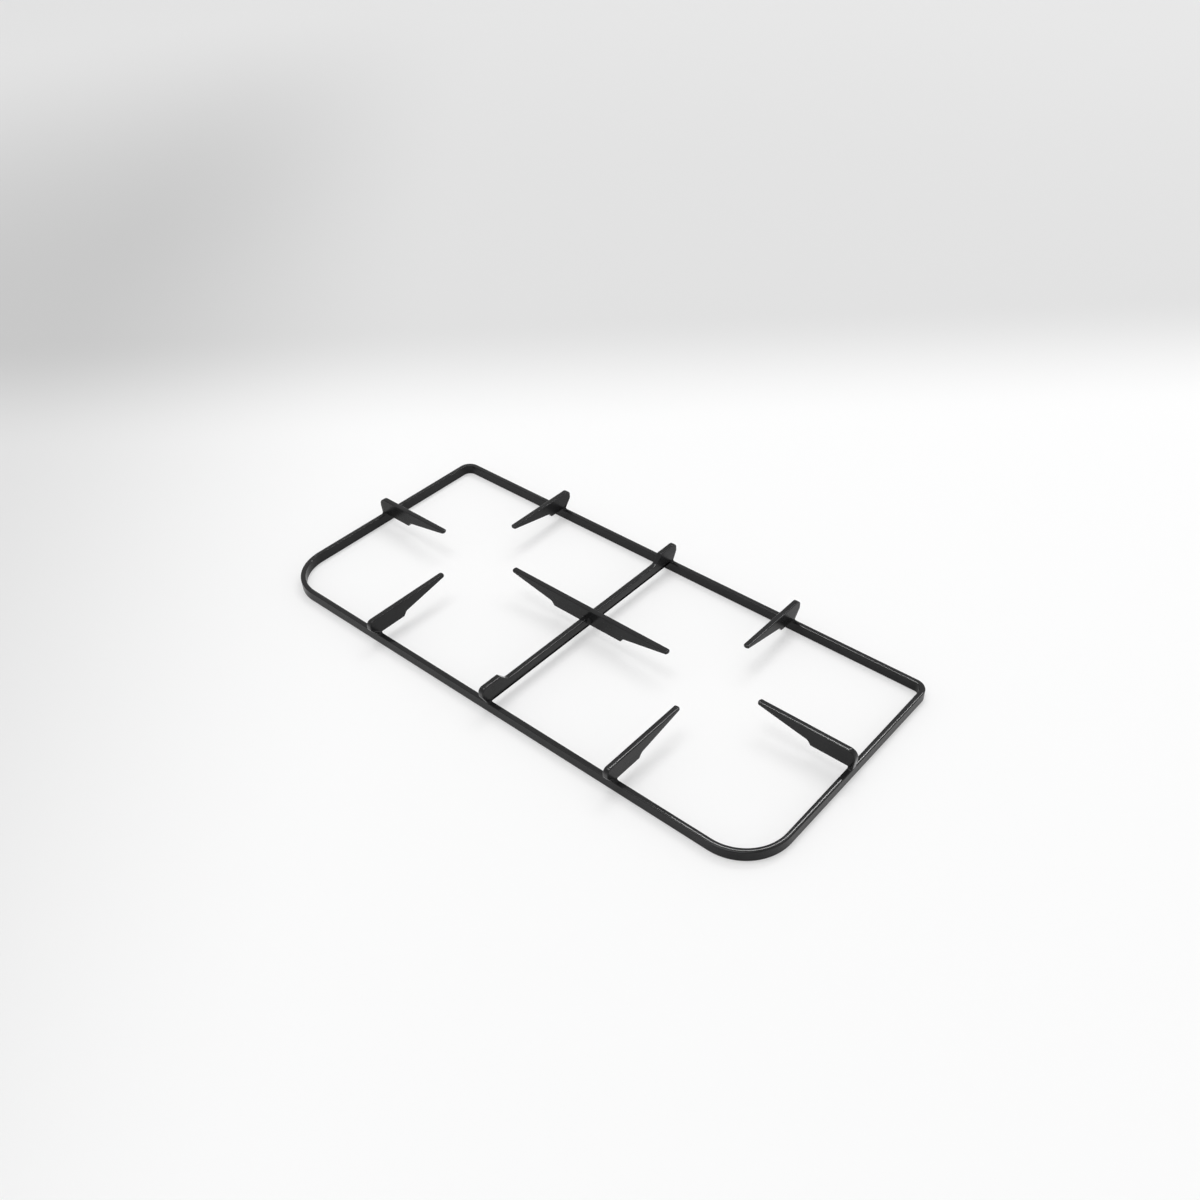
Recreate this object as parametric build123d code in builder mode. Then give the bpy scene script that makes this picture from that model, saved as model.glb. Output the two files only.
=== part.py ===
"""Pan support for two gas burners: a bent flat bar ring that carries upright finger plates.

The frame: X runs along the ring, Y from the front to the back, Z up.
The origin is on the hob, under the middle of the ring. Sizes are over the enamel.
"""
import os
from build123d import *

# Driving dimensions in millimetres

# Ring of flat bar, bent on edge
ring_length = 470.0
ring_depth = 213.0
bar_width = 4.0
bar_height = 8.5
front_corner_radius = 38.0
back_corner_radius = 10.5
bar_edge_radius = 0.6

# Plates that stand on the ring, with broken edges
plate_thickness = 4.4
edge_break = 0.5
pan_height = 24.0
underside_gap = 1.0
foot_hollow_share = 0.8

# Burners: spacing along X, and how far their line lies behind the middle of the ring
burner_spacing = 235.0
burner_line = 4.5
tip_circle_radius = 39.5

# Finger blade, from its tip, which is nearly a full round, to the step where it gets deep
blade_length = 44.5
tip_depth = 2.6
tip_round_share = 0.45
step_run = 2.6
step_rise = 3.6
step_hollow_radius = 3.0
step_corner_radius = 1.2

# Outer ends of the plates. The two end fingers hardly stand out past the ring and are rounder on top.
finger_overhang = 6.0
end_finger_overhang = 0.8
ear_overhang = 4.0
top_corner_radius = 4.0
end_finger_corner_radius = 6.0
nose_depth = 7.5
nose_radius = 3.0

# Cross bar and its ears
cross_bar_depth = 7.2
ear_length = 15.0
ear_corner_radius = 1.5
ear_hollow_radius = 4.0

# Half-lap where the centre finger crosses the cross bar, and the welds
lap_clearance = 0.1
weld_leg = 1.8

# Places worked out from the driving dimensions
underside = bar_height + underside_gap
foot_hollow_radius = foot_hollow_share * underside_gap
step_top = underside + step_rise
tip_bottom = pan_height - tip_depth
tip_round = tip_round_share * tip_depth
nose_bottom = pan_height - nose_depth
cross_bar_top = underside + cross_bar_depth
lap_height = (underside + cross_bar_top) / 2
lap_width = plate_thickness + 2 * lap_clearance
half_plate = plate_thickness / 2
ring_back = ring_depth / 2
ring_end = ring_length / 2
burner_x = burner_spacing / 2
end_tip_x = burner_x + tip_circle_radius
centre_tip_x = burner_x - tip_circle_radius
back_tip_y = burner_line + tip_circle_radius
front_tip_y = burner_line - tip_circle_radius

# Edges that lie closer than this to a face are on it
touching = 0.01

# Directions on the hob
left, right = Vector(-1, 0, 0), Vector(1, 0, 0)
front, back = Vector(0, -1, 0), Vector(0, 1, 0)
up = Vector(0, 0, 1)


def upright_plane(x, y, outward):
    """Plane of an upright plate: its x runs outward from (x, y) on the hob, and its y runs up."""
    return Plane(origin=(x, y, 0), x_dir=outward, z_dir=outward.cross(up))


def round_corner(point, radius):
    """Round the corner of the open sketch that is nearest to a point."""
    fillet(vertices().sort_by_distance(point)[0], radius)


def break_rims():
    """Break the rims of the open plate's two faces, apart from the bottom edges of its welded feet."""
    rims = faces().sort_by(SortBy.AREA)[-2:].edges()
    feet = rims.filter_by_position(Axis.Z, bar_height - touching, bar_height + touching)
    chamfer(rims - feet, edge_break)


def make_finger(name, tip_x, tip_y, outward, length, overhang, corner_radius):
    """Make a finger plate that runs from its tip outward over the ring.

    length is the distance from the tip to the ring's outer face, and overhang is how far the outer end,
    a nose with a sloping underside, stands out past that face. corner_radius rounds the top of the nose.
    """
    foot_start = length - bar_width
    outer_end = length + overhang
    with BuildPart() as finger:
        with BuildSketch(upright_plane(tip_x, tip_y, outward)):
            with BuildLine():
                Polyline(
                    (0, pan_height),
                    (0, tip_bottom),
                    (blade_length - step_run, step_top),
                    (blade_length, underside),
                    (foot_start, underside),
                    (foot_start, bar_height),
                    (length, bar_height),
                    (outer_end, nose_bottom),
                    (outer_end, pan_height),
                    close=True,
                )
            make_face()
            round_corner((0, pan_height), tip_round)
            round_corner((0, tip_bottom), tip_round)
            round_corner((blade_length - step_run, step_top), step_hollow_radius)
            round_corner((blade_length, underside), step_corner_radius)
            round_corner((foot_start, underside), foot_hollow_radius)
            round_corner((outer_end, nose_bottom), nose_radius)
            round_corner((outer_end, pan_height), corner_radius)
        extrude(amount=half_plate, both=True)
        break_rims()
    finger.part.label = name
    return finger.part


# Ring
with BuildPart() as frame_ring:
    with BuildSketch():
        Rectangle(ring_length, ring_depth)
        back_corners = vertices().group_by(Axis.Y)[-1]
        fillet(back_corners, back_corner_radius)
        front_corners = vertices().group_by(Axis.Y)[0]
        fillet(front_corners, front_corner_radius)
        offset(amount=-bar_width, mode=Mode.SUBTRACT)
    extrude(amount=bar_height)
    fillet(faces().filter_by(Axis.Z).edges(), bar_edge_radius)
frame_ring.part.label = "frame_ring"

# Cross bar, with an ear at each end that stands on the ring and holds the pan's edge
ear_inside = ring_back - ear_length
ear_foot = ear_inside - (pan_height - cross_bar_top)
ear_end = ring_back + ear_overhang
foot_inside = ring_back - bar_width
with BuildPart() as cross_bar:
    with BuildSketch(upright_plane(0, 0, back)):
        with BuildLine():
            Polyline(
                (0, underside),
                (foot_inside, underside),
                (foot_inside, bar_height),
                (ring_back, bar_height),
                (ear_end, nose_bottom),
                (ear_end, pan_height),
                (ear_inside, pan_height),
                (ear_foot, cross_bar_top),
                (0, cross_bar_top),
            )
            mirror(about=Plane.YZ)
        make_face()
        for side in (-1, 1):
            round_corner((side * foot_inside, underside), foot_hollow_radius)
            round_corner((side * ear_end, nose_bottom), nose_radius)
            round_corner((side * ear_end, pan_height), top_corner_radius)
            round_corner((side * ear_inside, pan_height), ear_corner_radius)
            round_corner((side * ear_foot, cross_bar_top), ear_hollow_radius)
    extrude(amount=half_plate, both=True)
    break_rims()
    with BuildSketch(upright_plane(0, 0, back)):
        with Locations((burner_line, lap_height)):
            Rectangle(lap_width, pan_height - lap_height, align=(Align.CENTER, Align.MIN))
    extrude(amount=plate_thickness, both=True, mode=Mode.SUBTRACT)
cross_bar.part.label = "cross_bar"

# Centre finger, with a tip at each burner, half-lapped over the cross bar
centre_step = centre_tip_x - blade_length
with BuildPart() as centre_finger:
    with BuildSketch(upright_plane(0, burner_line, right)):
        with BuildLine():
            Polyline(
                (0, underside),
                (centre_step, underside),
                (centre_step + step_run, step_top),
                (centre_tip_x, tip_bottom),
                (centre_tip_x, pan_height),
                (0, pan_height),
            )
            mirror(about=Plane.YZ)
        make_face()
        for side in (-1, 1):
            round_corner((side * centre_step, underside), step_corner_radius)
            round_corner((side * (centre_step + step_run), step_top), step_hollow_radius)
            round_corner((side * centre_tip_x, tip_bottom), tip_round)
            round_corner((side * centre_tip_x, pan_height), tip_round)
    extrude(amount=half_plate, both=True)
    break_rims()
    with BuildSketch(upright_plane(0, burner_line, right)):
        with Locations((0, lap_height)):
            Rectangle(lap_width, lap_height, align=(Align.CENTER, Align.MAX))
    extrude(amount=plate_thickness, both=True, mode=Mode.SUBTRACT)
centre_finger.part.label = "centre_finger"

# Fingers, each from its tip on a burner's circle to the ring
end_length = ring_end - end_tip_x
back_length = ring_back - back_tip_y
front_length = ring_back + front_tip_y
end_shape = (end_length, end_finger_overhang, end_finger_corner_radius)
back_shape = (back_length, finger_overhang, top_corner_radius)
front_shape = (front_length, finger_overhang, top_corner_radius)
fingers = [
    make_finger("left_end_finger", -end_tip_x, burner_line, left, *end_shape),
    make_finger("right_end_finger", end_tip_x, burner_line, right, *end_shape),
]
for side, x in (("left", -burner_x), ("right", burner_x)):
    fingers.append(make_finger(f"back_{side}_finger", x, back_tip_y, back, *back_shape))
    fingers.append(make_finger(f"front_{side}_finger", x, front_tip_y, front, *front_shape))

# Weld beads: one on each side of each foot, and one in each corner of the crossing
bead_length = bar_width - 2 * bar_edge_radius
foot_y = ring_back - bar_width / 2
foot_x = ring_end - bar_width / 2
foot_places = [(x, side * foot_y, right) for x in (-burner_x, 0, burner_x) for side in (-1, 1)]
foot_places += [(side * foot_x, burner_line, back) for side in (-1, 1)]
bead_planes = []
for x, y, along in foot_places:
    foot_centre = Vector(x, y, bar_height)
    to_side = along * half_plate
    bead_planes.append(Plane(foot_centre + to_side, x_dir=along, z_dir=along.cross(up)))
    bead_planes.append(Plane(foot_centre - to_side, x_dir=up, z_dir=along.cross(up)))
corner_on_axis = (Align.MIN, Align.MIN, Align.CENTER)
crossing_planes = [
    Plane((x * half_plate, burner_line + y * half_plate, lap_height)).rotated((0, 0, turn))
    for x, y, turn in ((1, 1, 0), (-1, 1, 90), (-1, -1, 180), (1, -1, 270))
]
with BuildPart() as weld_beads:
    with Locations(*bead_planes):
        Cylinder(weld_leg, bead_length, arc_size=90, align=corner_on_axis)
    with Locations(*crossing_planes):
        Cylinder(weld_leg, cross_bar_depth - 2 * edge_break, arc_size=90, align=corner_on_axis)
weld_beads.part.label = "weld_beads"

os.makedirs("parts", exist_ok=True)
for piece in [frame_ring.part, cross_bar.part, centre_finger.part, *fingers, weld_beads.part]:
    export_step(piece, f"parts/{piece.label}.step")
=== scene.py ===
"""Dresses the hob pan support: a ring of flat bar that carries upright finger plates, in glossy black enamel.

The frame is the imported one: X runs along the ring, Y from the front to the back and Z up, with the origin on the
hob under the middle of the ring. Sizes in the classes are millimetres over the enamel, and meshes are in metres.
"""
import logging
from abc import ABC, abstractmethod
from dataclasses import dataclass, field
from enum import Enum
from math import ceil, pi, radians, tan
from typing import Any, Mapping, Sequence

import bpy
import numpy as np
from mathutils import Matrix, Vector


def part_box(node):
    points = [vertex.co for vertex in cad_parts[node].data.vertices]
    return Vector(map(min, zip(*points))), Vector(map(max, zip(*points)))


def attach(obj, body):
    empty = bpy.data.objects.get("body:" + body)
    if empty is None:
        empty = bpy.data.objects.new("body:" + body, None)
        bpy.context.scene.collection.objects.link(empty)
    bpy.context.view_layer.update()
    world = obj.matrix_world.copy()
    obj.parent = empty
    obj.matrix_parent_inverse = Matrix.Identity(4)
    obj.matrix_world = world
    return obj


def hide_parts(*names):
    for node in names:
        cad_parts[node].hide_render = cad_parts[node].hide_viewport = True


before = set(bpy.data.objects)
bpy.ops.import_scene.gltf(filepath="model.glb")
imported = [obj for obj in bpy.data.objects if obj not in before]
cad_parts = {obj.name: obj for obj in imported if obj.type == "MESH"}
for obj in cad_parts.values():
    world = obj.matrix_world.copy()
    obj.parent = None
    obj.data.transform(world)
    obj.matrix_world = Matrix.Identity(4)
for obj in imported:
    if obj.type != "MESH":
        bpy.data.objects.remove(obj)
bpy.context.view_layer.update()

MM = 0.001
BODY = "root"
END_FINGER_CORNER_RADIUS = 6.0
ALONG = np.array([1.0, 0.0, 0.0])
ACROSS = np.array([0.0, 1.0, 0.0])
UP = np.array([0.0, 0.0, 1.0])

log = logging.getLogger("pan_support")


class Heading(Enum):
    """The way a plate runs from its tip to the ring, as a unit vector on the hob."""

    LEFT = (-1.0, 0.0, 0.0)
    RIGHT = (1.0, 0.0, 0.0)
    FRONT = (0.0, -1.0, 0.0)
    BACK = (0.0, 1.0, 0.0)

    @property
    def vector(self) -> np.ndarray:
        """The heading as an array."""
        return np.array(self.value)


@dataclass(frozen=True)
class NodeBox:
    """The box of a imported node, in millimetres."""

    low: np.ndarray
    high: np.ndarray

    @classmethod
    def of(cls, node: str) -> "NodeBox":
        """Read the box of a node from the frame."""
        low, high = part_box(node)
        return cls(np.array(low) / MM, np.array(high) / MM)

    @property
    def middle(self) -> np.ndarray:
        """The middle of the box."""
        return (self.low + self.high) / 2

    @property
    def size(self) -> np.ndarray:
        """The lengths of the box along X, Y and Z."""
        return self.high - self.low

    def reach(self, heading: np.ndarray) -> tuple[float, float]:
        """How near to the origin's plane and how far from it the box lies along a heading."""
        ends = float(self.low @ heading), float(self.high @ heading)
        return min(ends), max(ends)


@dataclass(frozen=True)
class Corner:
    """A corner of an outline, in millimetres, and the radius that rounds it; a radius of 0 leaves it sharp."""

    x: float
    y: float
    radius: float = 0.0

    def mirrored(self) -> "Corner":
        """The same corner on the other side of x = 0."""
        return Corner(-self.x, self.y, self.radius)


def with_mirror_image(half: Sequence[Corner]) -> list[Corner]:
    """Close a half outline, listed anticlockwise on the positive x side, with its mirror image."""
    return [*half, *(corner.mirrored() for corner in reversed(half))]


def turned_right(heading: np.ndarray) -> np.ndarray:
    """Turn plane vectors right by a quarter turn, which on an anticlockwise outline points outward."""
    return np.stack([heading[..., 1], -heading[..., 0]], axis=-1)


@dataclass(frozen=True)
class Outline:
    """A closed anticlockwise line of straight runs and rounded corners."""

    corners: Sequence[Corner]
    chord_error: float = 0.006
    widest_step: float = radians(9)
    longest_run: float = 8.0
    shortest_run: float = 0.75
    run_margin: float = 0.25

    def trace(self) -> tuple[np.ndarray, np.ndarray]:
        """Walk once round the outline, corner by corner.

        Each corner's arc is followed by points along the straight run to the next arc.

        Returns:
            The points and their outward normals, two arrays of shape (count, 2).
        """
        places = np.array([(corner.x, corner.y) for corner in self.corners])
        ahead = np.roll(places, -1, axis=0) - places
        ahead /= np.linalg.norm(ahead, axis=1, keepdims=True)
        behind = np.roll(ahead, 1, axis=0)
        arcs = [self._arc(*each) for each in zip(self.corners, places, behind, ahead)]
        points, normals = [], []
        for (arc, arc_normals), (next_arc, _), heading in zip(arcs, arcs[1:] + arcs[:1], ahead):
            run = self._run(arc[-1], next_arc[0])
            points += [arc, run]
            normals += [arc_normals, np.broadcast_to(turned_right(heading), run.shape)]
        return np.concatenate(points), np.concatenate(normals)

    def _arc(self, corner: Corner, place: np.ndarray, behind: np.ndarray,
             ahead: np.ndarray) -> tuple[np.ndarray, np.ndarray]:
        """Round one corner.

        The line turns by the angle t between the headings behind and ahead. The arc starts r tan(|t| / 2) before the
        corner, and its points are the centre plus sign(t) r n, where n is the outward normal as it turns. A sharp
        corner is one point with the mitre normal (n1 + n2) / (1 + n1 . n2), so an offset keeps both runs parallel.

        Args:
            corner: The corner, for its radius.
            place: Where the corner is.
            behind: Unit heading of the run that comes in.
            ahead: Unit heading of the run that goes out.

        Returns:
            The arc's points and outward normals.
        """
        normal_in, normal_out = turned_right(behind), turned_right(ahead)
        if corner.radius == 0:
            mitre = (normal_in + normal_out) / (1 + normal_in @ normal_out)
            return place[None], mitre[None]
        turn = np.arctan2(behind[0] * ahead[1] - behind[1] * ahead[0], behind @ ahead)
        bulge = np.sign(turn) * corner.radius
        centre = place - behind * corner.radius * tan(abs(turn) / 2) - bulge * normal_in
        step = min(self.widest_step, 2 * np.arccos(1 - self.chord_error / corner.radius))
        swing = np.linspace(0, turn, 1 + ceil(abs(turn) / step))[:, None]
        normals = np.cos(swing) * normal_in + np.sin(swing) * behind
        return centre + bulge * normals, normals

    def _run(self, start: np.ndarray, end: np.ndarray) -> np.ndarray:
        """Divide a straight run evenly, with a point close to each end to keep its shading flat.

        Args:
            start: The end of the arc before the run.
            end: The start of the arc after it.

        Returns:
            The points between the two, none where the run is short.
        """
        length = np.linalg.norm(end - start)
        if length < self.shortest_run:
            return np.empty((0, 2))
        margin = self.run_margin / length
        share = np.linspace(margin, 1 - margin, 2 + int(length / self.longest_run))[:, None]
        return start + share * (end - start)


@dataclass(frozen=True)
class SoftRim:
    """The edge that the enamel leaves on bar and plate: a slight crown between two small round rims."""

    radius: float = 0.55
    crown_slope: float = radians(7)
    hold: float = 0.12
    rim_steps: int = 5
    crown_steps: int = 8

    def rows(self, thickness: float) -> tuple[np.ndarray, np.ndarray, np.ndarray]:
        """Follow the section from one face over the edge to the other face.

        Where the surface leans by the angle a, the crown of radius R lies R sin a to the side and R (1 - cos a) inside
        the outline. At the crown's slope the rims take over with their small radius in place of R, and R is such that
        they end on the faces. A row on each face, the hold away from the rim, keeps it flat when it is shaded smooth.

        Args:
            thickness: The distance between the faces.

        Returns:
            How far each row lies inside the outline, how far it lies to the side of the middle, and how much of an
            edge it is, from 0 on the faces to 1 on the crown.
        """
        slope = self.crown_slope
        rim = np.linspace(pi / 2, slope, self.rim_steps + 1)
        lean = np.concatenate([rim[:-1], np.linspace(slope, -slope, self.crown_steps + 1), -rim[-2::-1]])
        on_crown = np.clip(lean, -slope, slope)
        crown_radius = (thickness / 2 - self.radius) / np.sin(slope) + self.radius
        across = crown_radius * np.sin(on_crown) + self.radius * (np.sin(lean) - np.sin(on_crown))
        inset = crown_radius * (1 - np.cos(on_crown)) + self.radius * (np.cos(on_crown) - np.cos(lean))
        edge = 1 - abs(lean - on_crown) / (pi / 2 - slope)
        inset = np.pad(inset, 1, mode="edge")
        inset[[0, -1]] += self.hold
        return inset, np.pad(across, 1, mode="edge"), np.pad(edge, 1)


@dataclass
class Patch:
    """A grid of points in millimetres whose columns close on themselves.

    The cross product of the step to the next row and the step to the next column points outward. Where the rows
    don't close on themselves, the first and last row are capped.
    """

    points: np.ndarray
    edge: np.ndarray
    rows_closed: bool = False

    def faces(self, first: int) -> list[list[int]]:
        """List the quads between neighbouring rows and columns, and the caps.

        Args:
            first: The number of the patch's first point in its mesh.

        Returns:
            The point numbers of each face.
        """
        row_count, column_count = self.points.shape[:2]
        number = first + np.arange(row_count * column_count).reshape(row_count, column_count)
        here, below = number, np.roll(number, -1, axis=0)
        if not self.rows_closed:
            here, below = here[:-1], below[:-1]
        corners = [here, below, np.roll(below, -1, axis=1), np.roll(here, -1, axis=1)]
        faces = np.stack(corners, axis=-1).reshape(-1, 4).tolist()
        if not self.rows_closed:
            faces += [number[0].tolist(), number[-1, ::-1].tolist()]
        return faces


class Socket:
    """A shader value that takes part in Python expressions; each operator adds one Math node."""

    def __init__(self, graph: "ShaderGraph", output: bpy.types.NodeSocket) -> None:
        """Wrap the output of a node."""
        self.graph = graph
        self.output = output

    def _math(self, operation: str, first: Any, second: Any) -> "Socket":
        """Add a Math node for two values, either of which may be a plain number."""
        return self.graph.node("ShaderNodeMath", {"operation": operation}, {0: first, 1: second})

    def __add__(self, other: Any) -> "Socket":
        """This value plus another."""
        return self._math("ADD", self, other)

    __radd__ = __add__

    def __sub__(self, other: Any) -> "Socket":
        """This value minus another."""
        return self._math("SUBTRACT", self, other)

    def __rsub__(self, other: Any) -> "Socket":
        """A number minus this value."""
        return self._math("SUBTRACT", other, self)

    def __mul__(self, other: Any) -> "Socket":
        """This value times another."""
        return self._math("MULTIPLY", self, other)

    __rmul__ = __mul__


class ShaderGraph:
    """The node tree of one material or of the world."""

    def __init__(self, owner: bpy.types.Material | bpy.types.World) -> None:
        """Start an empty tree.

        Args:
            owner: The material or world that the tree belongs to.
        """
        owner.use_nodes = True
        self.tree = owner.node_tree
        self.tree.nodes.clear()

    def node(self, kind: str, settings: Mapping[str, Any] | None = None,
             sockets: Mapping[str | int, Any] | None = None, output: str | int = 0) -> Socket:
        """Add a node.

        Args:
            kind: The node's type.
            settings: Properties to set first; "stops" gives a colour ramp its positions and colours.
            sockets: Plain values, or the sockets to link, by input name or number.
            output: The output to return.

        Returns:
            The chosen output, or the node's last input where it has no output.
        """
        node = self.tree.nodes.new(kind)
        for name, value in (settings or {}).items():
            if name == "stops":
                self._set_stops(node.color_ramp, value)
            else:
                setattr(node, name, value)
        for name, value in (sockets or {}).items():
            if isinstance(value, Socket):
                self.tree.links.new(value.output, node.inputs[name])
            else:
                node.inputs[name].default_value = value
        return Socket(self, node.outputs[output] if node.outputs else node.inputs[-1])

    @staticmethod
    def _set_stops(ramp: bpy.types.ColorRamp, stops: Sequence[tuple[float, Sequence[float]]]) -> None:
        """Give a ramp its stops.

        Args:
            ramp: A new ramp, with no more stops than it needs.
            stops: The position and the colour of each stop, in order.
        """
        while len(ramp.elements) < len(stops):
            ramp.elements.new(1.0)
        for element, (position, colour) in zip(ramp.elements, stops):
            element.position = position
            element.color = (*colour, 1.0)

    def noise(self, place: Socket, scale: float, detail: float) -> Socket:
        """Add a noise pattern, about 0 to 1, with so many cells to a metre."""
        return self.node("ShaderNodeTexNoise", {"noise_dimensions": "3D"},
                         {"Vector": place, "Scale": scale, "Detail": detail})

    def along(self, place: Socket, heading: np.ndarray) -> Socket:
        """How far a place lies along a unit heading."""
        return self.node("ShaderNodeVectorMath", {"operation": "DOT_PRODUCT"}, {0: place, 1: heading}, output="Value")

    def fade(self, value: Socket, start: float, end: float) -> Socket:
        """Rise smoothly from 0 at the start value to 1 at the end value."""
        return self.node("ShaderNodeMapRange", {"interpolation_type": "SMOOTHSTEP"}, {0: value, 1: start, 2: end})


@dataclass(frozen=True)
class BlackEnamel:
    """Glossy black vitreous enamel: fired glass with a faint ripple, fine grain and a few pinholes."""

    name: str = "black_enamel"
    deep: tuple[float, float, float] = (0.0100, 0.0100, 0.0104)
    lifted: tuple[float, float, float] = (0.0165, 0.0165, 0.0170)
    roughness: float = 0.24
    roughness_swing: float = 0.12
    edge_gloss: float = 0.13
    edge_coat: float = 0.5
    coat_roughness: float = 0.08
    refraction: float = 1.26
    pool_scale: float = 55.0
    pool_detail: float = 3.0
    pool_share: float = 0.65
    tone_range: tuple[float, float] = (0.30, 0.62)
    ripple_scale: float = 380.0
    ripple_height: float = 0.75
    grain_scale: float = 2600.0
    grain_height: float = 0.12
    fine_detail: float = 2.0
    noise_middle: float = 0.5
    pinhole_scale: float = 240.0
    pinhole_size: float = 0.10
    pinhole_core: float = 0.4
    pinhole_depth: float = 0.5
    pinhole_dullness: float = 0.2
    bump_distance: float = 0.00010
    bump_strength: float = 0.20

    def material(self) -> bpy.types.Material:
        """Build the enamel from noise on Object coordinates.

        Broad pools make the black deeper or greyer, ripples bend the reflections as orange peel does, fine grain
        breaks up the gloss, and pinholes are the dark middles of a few Voronoi cells. On the edges, where the molten
        glass draws itself smooth, it is glossier than on the faces.

        Returns:
            The material.
        """
        material = bpy.data.materials.new(self.name)
        graph = ShaderGraph(material)
        place = graph.node("ShaderNodeTexCoord", output="Object")
        edge = graph.node("ShaderNodeAttribute", {"attribute_name": "edge"}, output="Fac")
        pools = graph.noise(place, self.pool_scale, self.pool_detail)
        ripple = graph.noise(place, self.ripple_scale, self.fine_detail)
        grain = graph.noise(place, self.grain_scale, self.fine_detail)
        cell = graph.node("ShaderNodeTexVoronoi", {"feature": "F1"},
                          {"Vector": place, "Scale": self.pinhole_scale}, output="Distance")
        pinhole = graph.fade(cell, self.pinhole_size, self.pinhole_core * self.pinhole_size)
        tone = self.pool_share * pools + (1 - self.pool_share) * grain
        stops = tuple(zip(self.tone_range, (self.deep, self.lifted)))
        colour = graph.node("ShaderNodeValToRGB", {"stops": stops}, {0: tone})
        dullness = (self.roughness + self.roughness_swing * (pools - self.noise_middle)
                    + self.roughness_swing * (grain - self.noise_middle)
                    - self.edge_gloss * edge + self.pinhole_dullness * pinhole)
        height = self.ripple_height * ripple + self.grain_height * grain - self.pinhole_depth * pinhole
        normal = graph.node("ShaderNodeBump", None, {"Strength": self.bump_strength, "Distance": self.bump_distance,
                                                     "Height": height})
        surface = graph.node("ShaderNodeBsdfPrincipled", None,
                             {"Base Color": colour, "Roughness": dullness, "IOR": self.refraction, "Normal": normal,
                              "Coat Weight": self.edge_coat * edge, "Coat Roughness": self.coat_roughness})
        graph.node("ShaderNodeOutputMaterial", None, {"Surface": surface})
        return material


@dataclass
class Piece(ABC):
    """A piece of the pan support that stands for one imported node."""

    node: str

    @property
    def box(self) -> NodeBox:
        """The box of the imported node."""
        return NodeBox.of(self.node)

    @abstractmethod
    def patches(self) -> list[Patch]:
        """The surfaces of the piece."""

    def build(self, finish: bpy.types.Material) -> bpy.types.Object:
        """Make the piece's mesh, dress it and let it stand for its node.

        Args:
            finish: The material of the whole piece.

        Returns:
            The new object, at the origin with its place in its mesh.
        """
        points, edges, faces, count = [], [], [], 0
        for patch in self.patches():
            faces += patch.faces(count)
            points.append(patch.points.reshape(-1, 3))
            edges.append(np.broadcast_to(patch.edge, patch.points.shape[:2]).ravel())
            count += len(points[-1])
        name = f"{self.node}_enamelled"
        mesh = bpy.data.meshes.new(name)
        mesh.from_pydata((MM * np.concatenate(points)).tolist(), [], faces)
        edge = mesh.attributes.new("edge", "FLOAT", "POINT")
        edge.data.foreach_set("value", np.concatenate(edges).astype(np.float32))
        mesh.shade_smooth()
        mesh.materials.append(finish)
        thing = bpy.data.objects.new(name, mesh)
        bpy.context.scene.collection.objects.link(thing)
        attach(thing, BODY)
        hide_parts(self.node)
        log.info("%s: %d points, %d faces", name, len(mesh.vertices), len(mesh.polygons))
        return thing


@dataclass
class FrameRing(Piece):
    """The flat bar on edge, bent into a ring with two large corners in front and two small ones at the back."""

    node: str = "frame_ring"
    rim: SoftRim = field(default_factory=SoftRim)
    bar_width: float = 4.0
    front_corner_radius: float = 38.0
    back_corner_radius: float = 10.5

    def patches(self) -> list[Patch]:
        """Carry the bar's section along the middle line of the ring.

        A point of the section at (a, z) lies a outside the middle line along its normal, at the height z. The section
        goes over the bar's top edge and back under its bottom edge.

        Returns:
            One patch, closed both ways.
        """
        half_width = self.bar_width / 2
        right, back, height = self.box.size / (2, 2, 1)
        front_radius = self.front_corner_radius - half_width
        back_radius = self.back_corner_radius - half_width
        x, y = right - half_width, back - half_width
        middle_line, outward = Outline([Corner(x, -y, front_radius), Corner(x, y, back_radius),
                                        Corner(-x, y, back_radius), Corner(-x, -y, front_radius)]).trace()
        inset, across, edge = self.rim.rows(self.bar_width)
        aside = np.concatenate([across, -across])
        level = np.concatenate([height - inset, inset])
        flat = middle_line[:, None] + aside[:, None] * outward[:, None]
        points = np.dstack([flat, np.broadcast_to(level, flat.shape[:2])])
        return [Patch(points, np.concatenate([edge, edge]), rows_closed=True)]


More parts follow.
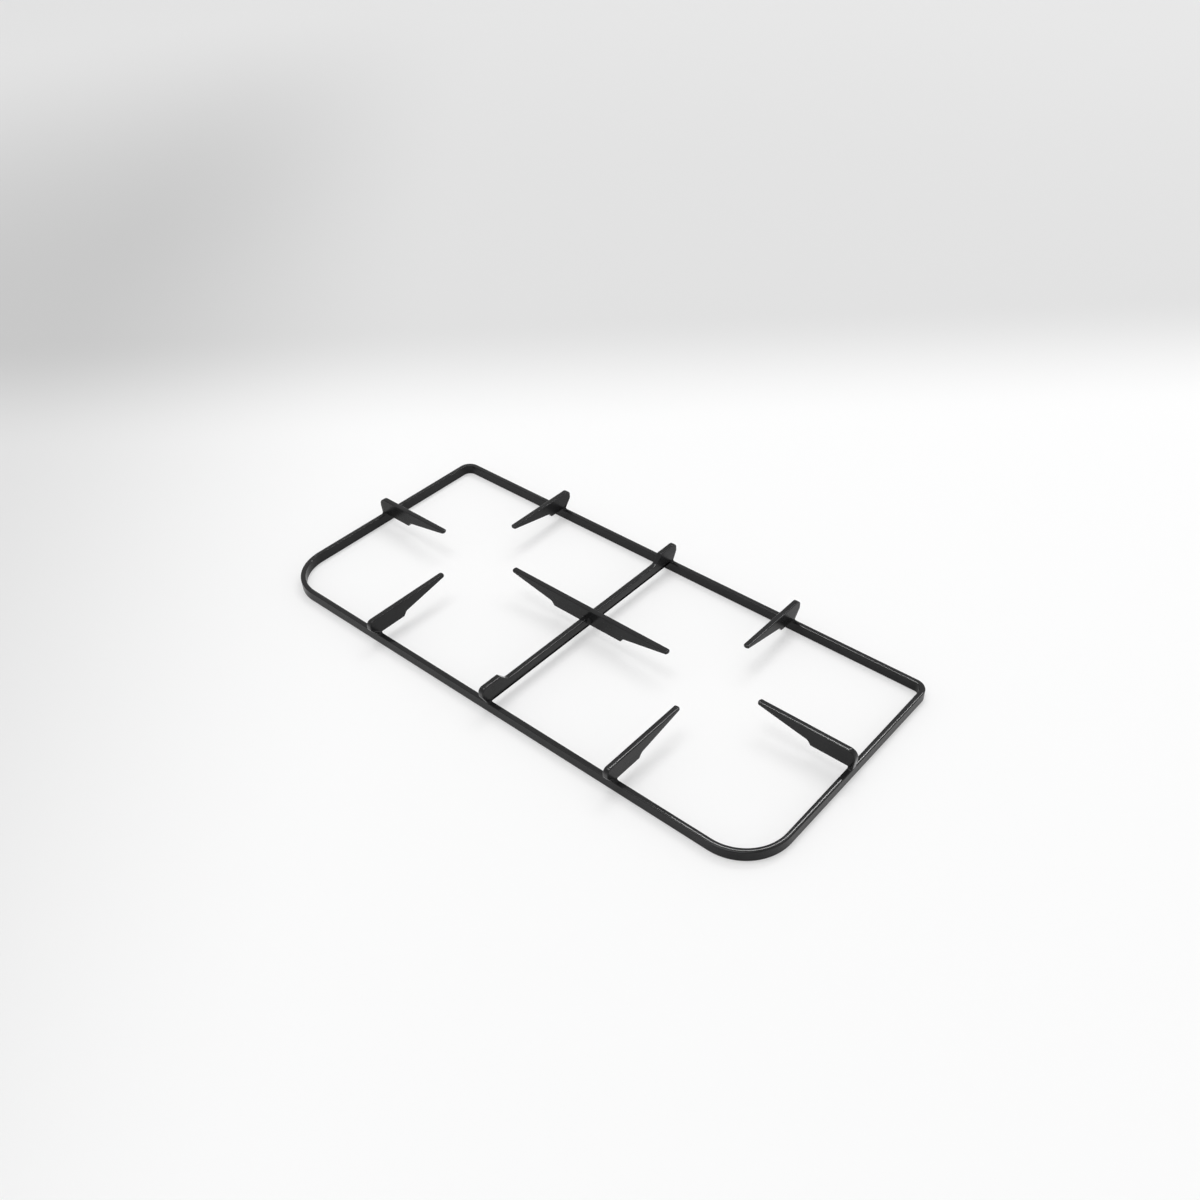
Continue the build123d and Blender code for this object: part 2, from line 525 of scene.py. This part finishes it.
@dataclass
class Plate(Piece):
    """A cut plate that stands on edge, with soft rims."""

    rim: SoftRim = field(default_factory=SoftRim)
    underside: float = 9.5
    bar_height: float = 8.5
    bar_width: float = 4.0
    foot_hollow_radius: float = 0.8
    foot_depth: float = 0.8
    foot_tuck: float = 0.6
    foot_margin: float = 0.1
    top_corner_radius: float = 4.0
    nose_depth: float = 7.5
    nose_radius: float = 3.0
    tip_crown: float = 0.8
    tip_reach: float = 4.0

    def outer_end(self, length: float, end: float) -> list[Corner]:
        """The foot on the ring and the plate's outer end.

        The foot reaches a little into the ring, where the weld has run, and stays inside its faces. Past the ring, the
        underside slopes up to a nose.

        Args:
            length: Distance from the plate's zero to the ring's outer face.
            end: Distance from the plate's zero to its outer end.

        Returns:
            The corners, anticlockwise.
        """
        pan_height = self.box.high[2]
        foot_start = length - self.bar_width + self.foot_margin
        foot_bottom = self.bar_height - self.foot_depth
        return [Corner(foot_start, self.underside, self.foot_hollow_radius),
                Corner(foot_start, foot_bottom),
                Corner(length - self.foot_tuck, foot_bottom),
                Corner(length, self.bar_height),
                Corner(end, pan_height - self.nose_depth, self.nose_radius),
                Corner(end, pan_height, self.top_corner_radius)]

    def upright(self, corners: Sequence[Corner], zero: np.ndarray, outward: np.ndarray,
                tips: Sequence[float] = ()) -> list[Patch]:
        """Give an upright outline the plate's thickness and rims.

        A point of the outline at (x, z), moved inward by the rim's inset, lies x outward from the zero point and z up,
        and as far to the side as the rim. A tip is crowned, so that it is round from above too: at the share s of half
        the thickness, and the share c of the tip's reach still to go, its points move back by crown s^2 c^2.

        Args:
            corners: The outline, anticlockwise, x outward and y up.
            zero: Where the outline's zero lies on the hob.
            outward: Unit heading of the plate.
            tips: Where the plate's tips lie along the heading.

        Returns:
            One closed patch.
        """
        sideways = np.cross(outward, UP)
        thickness = float(self.box.size @ abs(sideways))
        line, normals = Outline(corners).trace()
        inset, across, edge = self.rim.rows(thickness)
        flat = line - inset[:, None, None] * normals
        x, z, h = flat[..., 0], flat[..., 1], across[:, None]
        for tip in tips:
            to_go = np.clip(1 - abs(x - tip) / self.tip_reach, 0.0, 1.0)
            x = x + np.sign(line[:, 0].mean() - tip) * self.tip_crown * (2 * h / thickness) ** 2 * to_go ** 2
        points = zero + x[..., None] * outward + z[..., None] * UP + h[..., None] * sideways
        return [Patch(points, edge[:, None])]


@dataclass
class Blade:
    """The tapered blade that fingers share, from its nearly round tip to the step where the plate gets deep."""

    length: float = 44.5
    tip_depth: float = 2.6
    tip_round_share: float = 0.45
    step_run: float = 2.6
    step_rise: float = 3.6
    step_hollow_radius: float = 3.0
    step_corner_radius: float = 1.2

    def corners(self, underside: float, pan_height: float) -> list[Corner]:
        """List the blade's corners from the top of its tip to the foot of the step, with the tip at x = 0.

        Args:
            underside: The height of the plate's underside.
            pan_height: The height of the plate's top.

        Returns:
            The corners, anticlockwise.
        """
        tip_round = self.tip_round_share * self.tip_depth
        return [Corner(0, pan_height, tip_round),
                Corner(0, pan_height - self.tip_depth, tip_round),
                Corner(self.length - self.step_run, underside + self.step_rise, self.step_hollow_radius),
                Corner(self.length, underside, self.step_corner_radius)]


@dataclass
class FingerPlate(Plate):
    """A finger that runs from its tip near a burner outward over the ring."""

    heading: Heading = Heading.RIGHT
    blade: Blade = field(default_factory=Blade)

    def patches(self) -> list[Patch]:
        """Join the blade's corners and the outer end's, from the tip.

        Returns:
            One closed patch.
        """
        outward = self.heading.vector
        tip, end = self.box.reach(outward)
        ring_face = NodeBox.of("frame_ring").reach(outward)[1]
        middle = self.box.middle * (1, 1, 0)
        zero = middle + (tip - middle @ outward) * outward
        corners = self.blade.corners(self.underside, self.box.high[2])
        return self.upright([*corners, *self.outer_end(ring_face - tip, end - tip)], zero, outward, tips=[0])


@dataclass
class CrossBar(Plate):
    """The bar from the front of the ring to the back, with a raised ear at each end."""

    node: str = "cross_bar"
    depth: float = 7.2
    ear_length: float = 15.0
    ear_corner_radius: float = 1.5
    ear_hollow_radius: float = 4.0

    def patches(self) -> list[Patch]:
        """Join half the bar, from the foot round the ear to the low middle, and its mirror image.

        Returns:
            One closed patch.
        """
        ring_face = NodeBox.of("frame_ring").high[1]
        pan_height = self.box.high[2]
        top = self.underside + self.depth
        ear_inside = ring_face - self.ear_length
        half = [*self.outer_end(ring_face, self.box.high[1]),
                Corner(ear_inside, pan_height, self.ear_corner_radius),
                Corner(ear_inside - (pan_height - top), top, self.ear_hollow_radius)]
        return self.upright(with_mirror_image(half), np.zeros(3), ACROSS)


@dataclass
class CentreFinger(Plate):
    """The plate across the cross bar, with a finger's blade at each end."""

    node: str = "centre_finger"
    blade: Blade = field(default_factory=Blade)

    def patches(self) -> list[Patch]:
        """Join one blade, turned to point away from the middle, and its mirror image.

        Returns:
            One closed patch.
        """
        tip = self.box.high[0]
        blade = self.blade.corners(self.underside, self.box.high[2])
        half = [Corner(tip - corner.x, corner.y, corner.radius) for corner in reversed(blade)]
        return self.upright(with_mirror_image(half), self.box.middle * (0, 1, 0), ALONG, tips=[-tip, tip])


@dataclass
class Welds(Piece):
    """Hollow weld fillets, smoothed over by the enamel, beside each foot and in the corners of the crossing."""

    node: str = "weld_beads"
    leg: float = 1.8
    unevenness: float = 0.12
    swell_shift: float = 2.4
    swell_pitch: float = 1.3
    foot_half_length: float = 1.9
    crossing_half_length: float = 3.3
    crossing_height: float = 13.1
    root_depth: float = 0.5
    bar_width: float = 4.0
    bar_edge_radius: float = 0.6
    row_count: int = 17
    arc_count: int = 9

    def patches(self) -> list[Patch]:
        """Make fillets beside the feet, which follow the ring's rounded edges, and upright ones at the crossing.

        Returns:
            One closed patch for each fillet.
        """
        ring, cross_bar, finger = (NodeBox.of(node) for node in ("frame_ring", "cross_bar", "centre_finger"))
        foot_x, foot_y, foot_z = ring.size / (2, 2, 1) - (self.bar_width / 2, self.bar_width / 2, 0)
        half_plate = cross_bar.size[0] / 2
        burner_x = NodeBox.of("back_right_finger").middle[0]
        burner_line = finger.middle[1]
        feet = [((x, y, foot_z), ALONG) for x in (-burner_x, 0, burner_x) for y in (-foot_y, foot_y)]
        feet += [((x, burner_line, foot_z), ACROSS) for x in (-foot_x, foot_x)]
        fillets = []
        for foot, along in feet:
            fillets += [self._fillet(np.array(foot) + side * half_plate * along, side * along, UP,
                                     self.foot_half_length, self.bar_edge_radius, len(fillets) + side)
                        for side in (-1, 1)]
        level = self.crossing_height * UP
        for x, y in ((1, 1), (-1, 1), (-1, -1), (1, -1)):
            corner = x * half_plate * ALONG + (burner_line + y * half_plate) * ACROSS + level
            fillets.append(self._fillet(corner, x * ALONG, y * ACROSS, self.crossing_half_length, 0.0, len(fillets)))
        return fillets

    def _fillet(self, corner: np.ndarray, side: np.ndarray, rise: np.ndarray, half_length: float,
                edge_radius: float, phase: float) -> Patch:
        """Make one hollow fillet.

        At the angle p its section is l (1 - sin p) to the side and l (1 - cos p) up, and it is closed inside the steel.
        The leg l shrinks to nothing at both ends as the fourth root of 1 - (e / half length)^4, and swells
        and shrinks a little on the way. Beside a rounded edge it drops with that edge.

        Args:
            corner: The middle of the line that the fillet fills.
            side: Unit vector along the lower face.
            rise: Unit vector along the upright face.
            half_length: Half the fillet's length.
            edge_radius: Radius of the edges that end the lower face, or 0.
            phase: Where the unevenness starts.

        Returns:
            One closed patch.
        """
        end = half_length * np.sin(np.linspace(-pi / 2, pi / 2, self.row_count))[:, None]
        taper = np.sqrt(np.sqrt(np.clip(1 - (end / half_length) ** 4, 0.0, 1.0)))
        leg = self.leg * taper * (1 + self.unevenness * np.sin(self.swell_shift * phase + self.swell_pitch * end))
        past_flat = np.clip(abs(end) - (self.bar_width / 2 - edge_radius), 0.0, edge_radius)
        drop = edge_radius - np.sqrt(edge_radius ** 2 - past_flat ** 2)
        angle = np.linspace(0, pi / 2, self.arc_count)
        root = np.full_like(leg, -self.root_depth)
        across = np.hstack([root, leg, leg * (1 - np.sin(angle)), root])
        up = np.hstack([root, root, leg * (1 - np.cos(angle)), leg]) - drop
        points = (corner + across[..., None] * side + up[..., None] * rise
                  + end[..., None] * np.cross(rise, side))
        return Patch(points, np.zeros((1, 1)))


@dataclass(frozen=True)
class Softbox:
    """A rectangular lamp that faces the middle of the pan support; the enamel shows it where it is mirrored."""

    name: str
    direction: tuple[float, float, float]
    distance: float
    width_along: tuple[float, float, float]
    width: float
    height: float
    radiance: float
    mirrored: bool = True

    def build(self) -> None:
        """Hang the lamp, turned to the middle.

        A lamp's power is four times its area times its radiance.
        """
        lamp = bpy.data.lights.new(self.name, "AREA")
        lamp.shape = "RECTANGLE"
        lamp.size = self.width
        lamp.size_y = self.height
        lamp.energy = 4 * self.width * self.height * self.radiance
        thing = bpy.data.objects.new(self.name, lamp)
        towards = Vector(self.direction).normalized()
        upward = towards.cross(Vector(self.width_along)).normalized()
        turn = Matrix((upward.cross(towards), upward, towards)).transposed().to_4x4()
        thing.matrix_world = Matrix.Translation(self.distance * towards) @ turn
        thing.visible_glossy = self.mirrored
        bpy.context.scene.collection.objects.link(thing)
        log.info("%s: %.1f W", self.name, lamp.energy)


@dataclass(frozen=True)
class PhotoCamera:
    """The camera, at the angle and distance that the photograph was taken from."""

    azimuth: float = radians(42.33)
    elevation: float = radians(39.646)
    roll: float = radians(-2.265)
    distance: float = 921.495
    slide_right: float = 11.725
    slide_up: float = 19.923
    aim_height: float = 8.5
    lens: float = 36.267
    sensor: float = 36.0

    @property
    def view(self) -> np.ndarray:
        """Unit vector from the pan support back to the camera."""
        return np.array([np.sin(self.azimuth) * np.cos(self.elevation),
                         -np.cos(self.azimuth) * np.cos(self.elevation), np.sin(self.elevation)])

    def build(self) -> None:
        """Place the camera.

        It is turned about its view by the roll and slid in its picture plane.
        """
        level = np.array([np.cos(self.azimuth), np.sin(self.azimuth), 0.0])
        upright = np.cross(self.view, level)
        right = np.cos(self.roll) * level + np.sin(self.roll) * upright
        up = np.cos(self.roll) * upright - np.sin(self.roll) * level
        place = self.aim_height * UP + self.distance * self.view + self.slide_right * right + self.slide_up * up
        lens = bpy.data.cameras.new("photo_camera")
        lens.sensor_fit = "HORIZONTAL"
        lens.sensor_width = self.sensor
        lens.lens = self.lens
        thing = bpy.data.objects.new("photo_camera", lens)
        turn = np.column_stack([right, up, self.view, MM * place])
        thing.matrix_world = Matrix([*turn.tolist(), [0.0, 0.0, 0.0, 1.0]])
        bpy.context.scene.collection.objects.link(thing)
        bpy.context.scene.camera = thing


@dataclass(frozen=True)
class Studio:
    """A pale floor under a soft sky, with two lamps behind.

    A strip draws lines of light along the edges, and a broad panel makes the contact shadow in front of the bars.
    """

    floor_half: float = 4.0
    floor_gap: float = 0.00002
    floor_white: float = 0.93
    seen_white: float = 0.99
    seen_share: float = 0.38
    # Painted shade on the floor: how much the paper is darkened behind and to the left, and over what distances.
    back_fade: tuple[float, float] = (0.29, 0.53)
    back_painted_shade: float = 0.24
    left_fade: tuple[float, float] = (0.15, 0.60)
    left_painted_shade: float = 0.22
    far_fade: tuple[float, float] = (0.9, 2.0)
    far_shade: float = 0.78
    sky_middle: tuple[float, float, float] = (-0.19, -0.05, 0.98)
    sky: tuple[tuple[float, float], ...] = ((0.0, 0.75), (0.25, 0.72), (0.5, 0.45), (0.94, 0.49), (0.975, 4.25))
    camera: PhotoCamera = PhotoCamera()
    lamps: tuple[Softbox, ...] = (
        Softbox("back_strip", direction=(-0.72, 2.27, 3.10), distance=3.9, width_along=(0.739, 0.616, -0.276),
                width=2.0, height=0.12, radiance=18.0),
        Softbox("back_panel", direction=(-0.05, 0.55, 0.83), distance=8.0, width_along=(1.0, 0.0, 0.0),
                width=7.4, height=4.7, radiance=0.88, mirrored=False),
    )

    def build(self) -> None:
        """Set up the floor, the sky, the lamps and the camera.

        Colours are shown as they are, without a film look.
        """
        bpy.context.scene.view_settings.view_transform = "Standard"
        self._floor()
        self._sky()
        for lamp in self.lamps:
            lamp.build()
        self.camera.build()

    def _floor(self) -> None:
        """Lay the floor.

        It lies a hair below the hob's plane, clear of the ring's underside.
        """
        half = self.floor_half
        mesh = bpy.data.meshes.new("floor")
        square = [(x, y, -self.floor_gap) for x, y in ((-half, -half), (half, -half), (half, half), (-half, half))]
        mesh.from_pydata(square, [], [(0, 1, 2, 3)])
        mesh.materials.append(self._floor_material())
        floor = bpy.data.objects.new("floor", mesh)
        bpy.context.scene.collection.objects.link(floor)

    def _floor_material(self) -> bpy.types.Material:
        """Make white paper that greys softly behind the pan support and to its left, as seen by the camera.

        The greying is painted shade, standing in for light that falls off there. Far away it has one shade all round,
        that of the sky above it. The camera and the enamel's reflections see a share of plain white in it, so its
        shadows are faint.

        Returns:
            The material.
        """
        material = bpy.data.materials.new("pale_floor")
        graph = ShaderGraph(material)
        place = graph.node("ShaderNodeTexCoord", output="Object")
        away = -self.camera.view * (1, 1, 0)
        away /= np.linalg.norm(away)
        # Painted shade: the paper's colour is darkened behind the pan support and to its left, standing in for light
        # that falls off there.
        back = graph.fade(graph.along(place, away), *self.back_fade)
        left = graph.fade(graph.along(place, np.cross(UP, away)), *self.left_fade)
        near_painted_shade = (1.0 - self.back_painted_shade * back) * (1.0 - self.left_painted_shade * left)
        distance = graph.node("ShaderNodeVectorMath", {"operation": "LENGTH"}, {0: place}, output="Value")
        far = graph.fade(distance, *self.far_fade)
        shade = near_painted_shade * (1.0 - far) + self.far_shade * far
        paper = graph.node("ShaderNodeBsdfDiffuse", None, {"Color": self.floor_white * shade})
        white = graph.node("ShaderNodeEmission", None, {"Color": self.seen_white * shade, "Strength": 1.0})
        seen = sum(graph.node("ShaderNodeLightPath", output=f"Is {kind} Ray")
                   for kind in ("Camera", "Glossy", "Transmission"))
        surface = graph.node("ShaderNodeMixShader", None, {0: self.seen_share * seen, 1: paper, 2: white})
        graph.node("ShaderNodeOutputMaterial", None, {"Surface": surface})
        return material

    def _sky(self) -> None:
        """Light the pan support from all round.

        The sky is bright in its middle, nearly overhead, pale at the horizon and dimmer between.
        """
        world = bpy.data.worlds.new("soft_sky")
        bpy.context.scene.world = world
        graph = ShaderGraph(world)
        middle = np.array(self.sky_middle)
        nearness = graph.along(graph.node("ShaderNodeTexCoord", output="Generated"), middle / np.linalg.norm(middle))
        brightest = max(light for _, light in self.sky)
        stops = tuple((share, 3 * (light / brightest,)) for share, light in self.sky)
        colour = graph.node("ShaderNodeValToRGB", {"stops": stops}, {0: nearness})
        light = graph.node("ShaderNodeBackground", None, {"Color": colour, "Strength": brightest})
        graph.node("ShaderNodeOutputWorld", None, {"Surface": light})


def main() -> None:
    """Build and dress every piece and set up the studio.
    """
    logging.basicConfig(level=logging.INFO, format="%(name)s: %(message)s")
    enamel = BlackEnamel().material()
    pieces: list[Piece] = [
        FrameRing(),
        CrossBar(),
        CentreFinger(),
        FingerPlate("left_end_finger", heading=Heading.LEFT, top_corner_radius=END_FINGER_CORNER_RADIUS),
        FingerPlate("right_end_finger", heading=Heading.RIGHT, top_corner_radius=END_FINGER_CORNER_RADIUS),
    ]
    for side in ("left", "right"):
        pieces.append(FingerPlate(f"back_{side}_finger", heading=Heading.BACK))
        pieces.append(FingerPlate(f"front_{side}_finger", heading=Heading.FRONT))
    pieces.append(Welds())
    for piece in pieces:
        piece.build(enamel)
    Studio().build()


if __name__ == "__main__":
    main()
